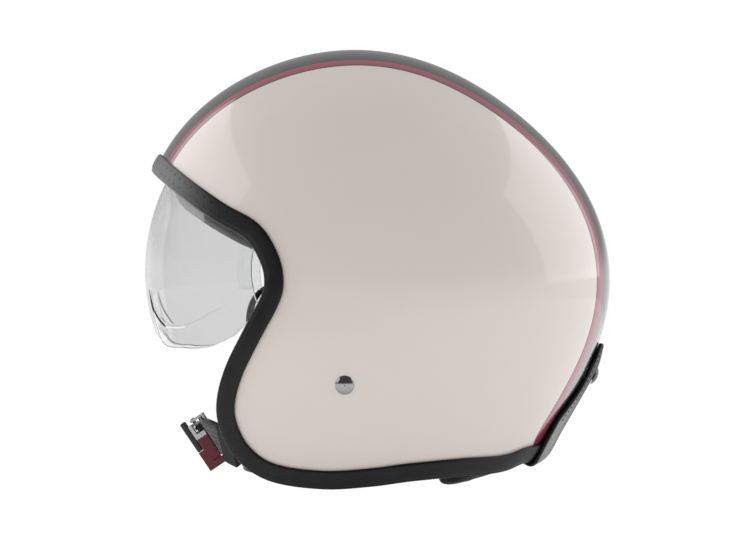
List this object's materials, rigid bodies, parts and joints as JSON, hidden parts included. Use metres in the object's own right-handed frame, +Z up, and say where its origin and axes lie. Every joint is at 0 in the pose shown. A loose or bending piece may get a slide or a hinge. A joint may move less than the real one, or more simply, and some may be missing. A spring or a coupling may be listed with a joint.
{
  "type": "open face motorcycle helmet",
  "caption": "Open face motorcycle helmet with a centre stripe, leather edge trim, clear swinging visor, padded liner, ratchet buckle chin strap and a leather goggle strap with a press stud.",
  "frame": {"origin": "centre of the bounding box in X and Y, at the lowest edge of the helmet in Z", "axes": "+Z up through the crown, -Y out of the face opening, +X toward the wearer's left side"},
  "size_m": [0.244, 0.2806, 0.2632],
  "materials": {
    "shell": "gloss lacquer, cream with a black and burgundy centre stripe",
    "trim": "grained black leather",
    "foam": "black expanded polystyrene beads",
    "lining": "dark grey quilted cloth",
    "neck_leather": "soft black imitation leather",
    "visor": "clear polished polycarbonate",
    "black_plastic": "black moulded nylon",
    "white_plastic": "white acetal",
    "steel": "nickel plated steel",
    "chrome": "polished chrome",
    "dark_metal": "black enamelled brass",
    "webbing": "woven black nylon webbing",
    "red_plastic": "dark red moulded plastic",
    "black_rubber": "matt black rubber"
  },
  "bodies": {
    "helmet": {"outer_shell": "shell", "edge_trim": "trim", "eps_liner": "foam", "crown_liner": "lining", "brow_pad": "lining", "cheek_pad_left": "lining", "cheek_pad_right": "lining", "neck_roll": "neck_leather", "liner_snaps": "steel", "pivot_plate_left": "black_plastic", "pivot_plate_right": "black_plastic", "pivot_washers": "white_plastic", "pivot_screws": "steel", "visor_stops": "black_plastic", "strap_rivet_left": "chrome", "strap_rivet_right": "chrome", "strap_anchor_left": "steel", "strap_anchor_right": "steel", "chin_strap_left": "webbing", "chin_strap_right": "webbing", "strap_pad_left": "lining", "buckle_housing": "steel", "lever_pin": "steel", "lever_spring": "steel", "strap_keeper": "black_rubber", "goggle_strap_root": "trim", "goggle_strap_rivets": "steel", "snap_stud": "steel"},
    "visor": {"visor_lens": "visor", "visor_hub_left": "visor", "visor_hub_right": "visor"},
    "lever": {"buckle_lever": "red_plastic", "lever_grip": "black_plastic", "buckle_pawl": "steel"},
    "tongue": {"ratchet_tongue": "steel"},
    "goggle_flap": {"goggle_strap": "trim", "snap_cap": "dark_metal"}
  },
  "joints": [
    {"name": "visor_swing", "type": "hinge", "parent": "helmet", "child": "visor", "pos_m": [0, -0.021, 0.131], "axis": [-1, 0, 0], "range_deg": [0, 54]},
    {"name": "buckle_lever_lift", "type": "hinge", "parent": "helmet", "child": "lever", "pos_m": [0.009, -0.1018, 0.0283], "axis": [0, 0.5592, -0.829], "range_deg": [0, 35], "stiffness_Nm_per_rad": 0.02, "springref_deg": -17.19},
    {"name": "tongue_slide", "type": "slide", "parent": "helmet", "child": "tongue", "axis": [-1, 0, 0], "range_m": [0, 0.022], "deforming": ["chin_strap_right"]},
    {"name": "goggle_flap_swing", "type": "hinge", "parent": "helmet", "child": "goggle_flap", "pos_m": [0, 0.1095, 0.0265], "axis": [-1, 0, 0], "range_deg": [0, 75]}
  ]
}
